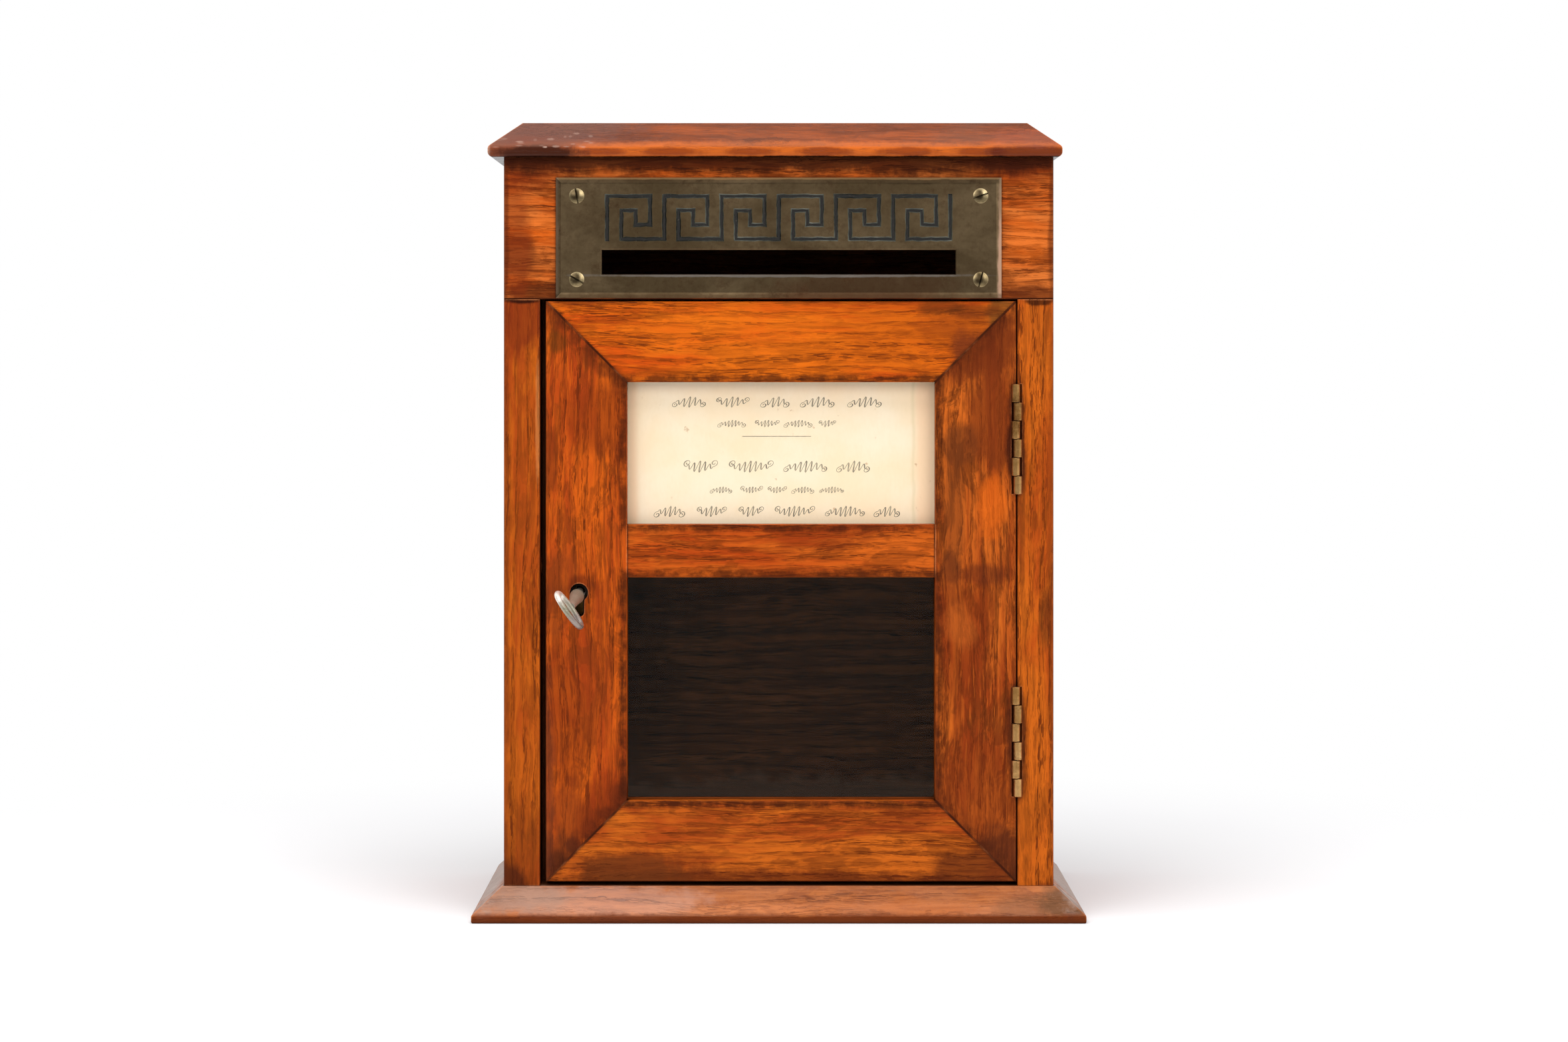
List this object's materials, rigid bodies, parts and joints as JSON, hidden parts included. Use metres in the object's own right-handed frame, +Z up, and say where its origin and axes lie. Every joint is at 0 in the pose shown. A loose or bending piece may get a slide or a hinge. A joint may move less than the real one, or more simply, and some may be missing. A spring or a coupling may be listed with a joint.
{
  "type": "desk letter box",
  "caption": "Small oak letter box with a brass posting slot over a glazed, hinged door with a lock and key.",
  "frame": {"origin": "middle of the underside of the base", "axes": "+Z up, the door and the posting slot face -Y, hinges on the +X side"},
  "size_m": [0.282, 0.1835, 0.3685],
  "materials": {
    "oak": "varnished oak",
    "letter_brass": "aged, dull",
    "hinge_brass": "worn",
    "lock_brass": "satin",
    "steel": "worn, grey",
    "pane": "clear",
    "card": "cream card",
    "board": "grey board"
  },
  "bodies": {
    "carcass": {"base_board": "oak", "top_board": "oak", "left_side": "oak", "right_side": "oak", "back_panel": "oak", "fascia_board": "oak", "letter_plate": "letter_brass", "letter_plate_screws": "letter_brass", "back_panel_screws": "steel", "base_screws": "steel", "top_battens": "oak", "door_stop": "oak", "lower_hinge_case_leaf": "hinge_brass", "upper_hinge_case_leaf": "hinge_brass", "lower_hinge_pin": "steel", "upper_hinge_pin": "steel", "hinge_case_screws": "hinge_brass"},
    "door": {"door_hinge_stile": "oak", "door_lock_stile": "oak", "door_top_rail": "oak", "door_bottom_rail": "oak", "door_middle_rail": "oak", "lower_glass": "pane", "upper_glass": "pane", "notice_card": "card", "card_backing": "board", "lower_left_bead": "oak", "lower_right_bead": "oak", "lower_top_bead": "oak", "lower_bottom_bead": "oak", "upper_left_bead": "oak", "upper_right_bead": "oak", "upper_top_bead": "oak", "upper_bottom_bead": "oak", "lower_hinge_door_leaf": "hinge_brass", "upper_hinge_door_leaf": "hinge_brass", "hinge_door_screws": "hinge_brass", "lock_plate": "lock_brass", "lock_case": "lock_brass", "lock_screws": "lock_brass"},
    "bolt": {"lock_bolt": "lock_brass", "bolt_spring": "lock_brass"},
    "key": {"key": "steel"}
  },
  "joints": [
    {"name": "door_swing", "type": "hinge", "parent": "carcass", "child": "door", "pos_m": [0.11, -0.07, 0.15], "axis": [0, 0, 1], "range_deg": [0, 175]},
    {"name": "key_turn", "type": "hinge", "parent": "door", "child": "key", "pos_m": [-0.0923, -0.064, 0.1509], "axis": [-0.1023, -0.973, -0.2068], "range_deg": [0, 292]},
    {"name": "bolt_slide", "type": "slide", "parent": "door", "child": "bolt", "axis": [-1, 0, 0], "range_m": [0, 0.0056]}
  ],
  "couplings": [
    {"joint": "bolt_slide", "follows": "key_turn", "m_per_rad": 0.0010988}
  ]
}
